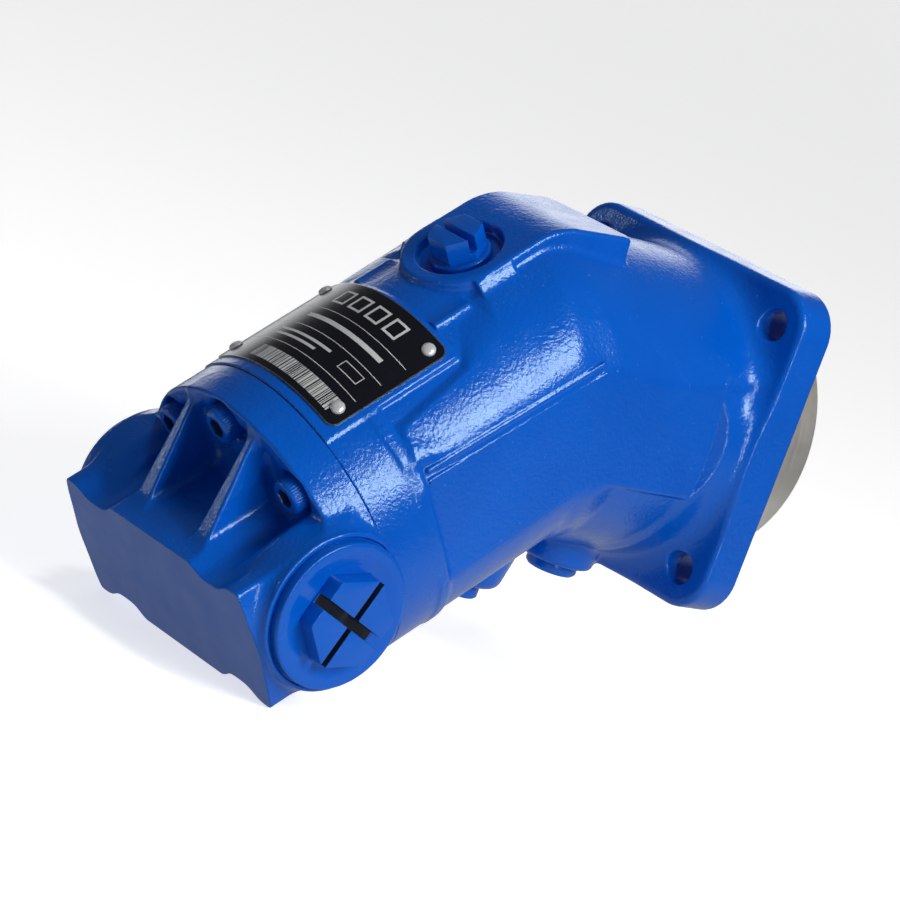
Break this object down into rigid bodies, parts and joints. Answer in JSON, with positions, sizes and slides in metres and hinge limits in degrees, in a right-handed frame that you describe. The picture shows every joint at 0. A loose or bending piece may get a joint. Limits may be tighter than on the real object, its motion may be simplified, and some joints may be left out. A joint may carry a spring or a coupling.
{
  "type": "axial piston pump",
  "caption": "Bent-axis axial piston pump: a blue cast housing with a square flange and bare spigot, a bolted port plate with capped side ports, and a splined drive shaft.",
  "frame": {"origin": "centre of the drive shaft's end face", "axes": "+X along the drive shaft out of the housing, +Y sideways out of the far side port, +Z towards the convex side of the bend, where the upper drain plug is"},
  "size_m": [0.2119, 0.1022, 0.1366],
  "materials": {
    "paint": "gloss enamel",
    "port_plate_paint": "gloss enamel",
    "fastener_paint": "gloss enamel over steel",
    "nameplate": "satin black plate, bare metal edge",
    "rivet": "bright",
    "bearing_steel": "ground",
    "rubber": "matt",
    "dark_steel": "oiled",
    "bronze": "machined",
    "steel": "ground",
    "cast": "ground"
  },
  "bodies": {
    "housing": {"housing": "paint", "port_plate": "port_plate_paint", "cap_screw_1": "fastener_paint", "cap_screw_2": "fastener_paint", "cap_screw_3": "fastener_paint", "cap_screw_4": "fastener_paint", "cap_screw_5": "fastener_paint", "cap_screw_6": "fastener_paint", "port_plug_near": "fastener_paint", "port_plug_far": "fastener_paint", "drain_plug_upper": "fastener_paint", "drain_plug_lower": "fastener_paint", "bleed_screw": "fastener_paint", "nameplate": "nameplate", "rivet_1": "rivet", "rivet_2": "rivet", "rivet_3": "rivet", "rivet_4": "rivet", "rear_bearing_cup": "bearing_steel", "front_bearing_cup": "bearing_steel", "shaft_seal": "rubber", "seal_circlip": "dark_steel", "valve_plate": "bronze", "valve_dowel": "steel", "case_seal_ring": "rubber"},
    "shaft": {"drive_shaft": "steel", "retaining_plate": "dark_steel", "rear_bearing_cone": "bearing_steel", "front_bearing_cone": "bearing_steel"},
    "cylinder_block": {"cylinder_block": "bronze", "centre_pin": "steel", "block_spring": "dark_steel", "spring_seat": "steel"},
    "rear_rollers": {"rear_roller_set": "dark_steel"},
    "front_rollers": {"front_roller_set": "dark_steel"},
    "piston_ball_1": {"piston_ball_1": "steel"},
    "piston_1": {"piston_1": "steel", "piston_ring_1": "cast"},
    "piston_ball_2": {"piston_ball_2": "steel"},
    "piston_2": {"piston_2": "steel", "piston_ring_2": "cast"},
    "piston_ball_3": {"piston_ball_3": "steel"},
    "piston_3": {"piston_3": "steel", "piston_ring_3": "cast"},
    "piston_ball_4": {"piston_ball_4": "steel"},
    "piston_4": {"piston_4": "steel", "piston_ring_4": "cast"},
    "piston_ball_5": {"piston_ball_5": "steel"},
    "piston_5": {"piston_5": "steel", "piston_ring_5": "cast"},
    "piston_ball_6": {"piston_ball_6": "steel"},
    "piston_6": {"piston_6": "steel", "piston_ring_6": "cast"},
    "piston_ball_7": {"piston_ball_7": "steel"},
    "piston_7": {"piston_7": "steel", "piston_ring_7": "cast"}
  },
  "joints": [
    {"name": "shaft_spin", "type": "hinge", "parent": "housing", "child": "shaft", "pos_m": [-0.1108, 0, 0], "axis": [1, 0, 0], "continuous": true},
    {"name": "block_spin", "type": "hinge", "parent": "housing", "child": "cylinder_block", "pos_m": [-0.1108, 0, 0], "axis": [0.766, 0, 0.6428], "continuous": true},
    {"name": "rear_roller_spin", "type": "hinge", "parent": "housing", "child": "rear_rollers", "pos_m": [-0.087, 0, 0], "axis": [1, 0, 0], "continuous": true},
    {"name": "front_roller_spin", "type": "hinge", "parent": "housing", "child": "front_rollers", "pos_m": [-0.0668, 0, 0], "axis": [1, 0, 0], "continuous": true},
    {"name": "piston_1_ball", "type": "hinge", "parent": "shaft", "child": "piston_ball_1", "pos_m": [-0.1108, 0, 0.018], "axis": [1, 0, 0], "continuous": true},
    {"name": "piston_1_swing", "type": "hinge", "parent": "piston_ball_1", "child": "piston_1", "pos_m": [-0.1108, 0, 0.018], "axis": [0.766, 0, 0.6428], "continuous": true},
    {"name": "piston_2_ball", "type": "hinge", "parent": "shaft", "child": "piston_ball_2", "pos_m": [-0.1108, -0.01407, 0.01122], "axis": [1, 0, 0], "continuous": true},
    {"name": "piston_2_swing", "type": "hinge", "parent": "piston_ball_2", "child": "piston_2", "pos_m": [-0.1108, -0.01407, 0.01122], "axis": [0.766, 0, 0.6428], "continuous": true},
    {"name": "piston_3_ball", "type": "hinge", "parent": "shaft", "child": "piston_ball_3", "pos_m": [-0.1108, -0.01755, -0.00401], "axis": [1, 0, 0], "continuous": true},
    {"name": "piston_3_swing", "type": "hinge", "parent": "piston_ball_3", "child": "piston_3", "pos_m": [-0.1108, -0.01755, -0.00401], "axis": [0.766, 0, 0.6428], "continuous": true},
    {"name": "piston_4_ball", "type": "hinge", "parent": "shaft", "child": "piston_ball_4", "pos_m": [-0.1108, -0.00781, -0.01622], "axis": [1, 0, 0], "continuous": true},
    {"name": "piston_4_swing", "type": "hinge", "parent": "piston_ball_4", "child": "piston_4", "pos_m": [-0.1108, -0.00781, -0.01622], "axis": [0.766, 0, 0.6428], "continuous": true},
    {"name": "piston_5_ball", "type": "hinge", "parent": "shaft", "child": "piston_ball_5", "pos_m": [-0.1108, 0.00781, -0.01622], "axis": [1, 0, 0], "continuous": true},
    {"name": "piston_5_swing", "type": "hinge", "parent": "piston_ball_5", "child": "piston_5", "pos_m": [-0.1108, 0.00781, -0.01622], "axis": [0.766, 0, 0.6428], "continuous": true},
    {"name": "piston_6_ball", "type": "hinge", "parent": "shaft", "child": "piston_ball_6", "pos_m": [-0.1108, 0.01755, -0.00401], "axis": [1, 0, 0], "continuous": true},
    {"name": "piston_6_swing", "type": "hinge", "parent": "piston_ball_6", "child": "piston_6", "pos_m": [-0.1108, 0.01755, -0.00401], "axis": [0.766, 0, 0.6428], "continuous": true},
    {"name": "piston_7_ball", "type": "hinge", "parent": "shaft", "child": "piston_ball_7", "pos_m": [-0.1108, 0.01407, 0.01122], "axis": [1, 0, 0], "continuous": true},
    {"name": "piston_7_swing", "type": "hinge", "parent": "piston_ball_7", "child": "piston_7", "pos_m": [-0.1108, 0.01407, 0.01122], "axis": [0.766, 0, 0.6428], "continuous": true}
  ],
  "couplings": [
    {"joint": "block_spin", "follows": "shaft_spin", "ratio": 1},
    {"joint": "rear_roller_spin", "follows": "shaft_spin", "ratio": 0.46},
    {"joint": "front_roller_spin", "follows": "shaft_spin", "ratio": 0.45},
    {"joint": "piston_1_ball", "follows": "shaft_spin", "ratio": -1},
    {"joint": "piston_1_swing", "follows": "shaft_spin", "ratio": -1},
    {"joint": "piston_2_ball", "follows": "shaft_spin", "ratio": -1},
    {"joint": "piston_2_swing", "follows": "shaft_spin", "ratio": -1},
    {"joint": "piston_3_ball", "follows": "shaft_spin", "ratio": -1},
    {"joint": "piston_3_swing", "follows": "shaft_spin", "ratio": -1},
    {"joint": "piston_4_ball", "follows": "shaft_spin", "ratio": -1},
    {"joint": "piston_4_swing", "follows": "shaft_spin", "ratio": -1},
    {"joint": "piston_5_ball", "follows": "shaft_spin", "ratio": -1},
    {"joint": "piston_5_swing", "follows": "shaft_spin", "ratio": -1},
    {"joint": "piston_6_ball", "follows": "shaft_spin", "ratio": -1},
    {"joint": "piston_6_swing", "follows": "shaft_spin", "ratio": -1},
    {"joint": "piston_7_ball", "follows": "shaft_spin", "ratio": -1},
    {"joint": "piston_7_swing", "follows": "shaft_spin", "ratio": -1}
  ]
}
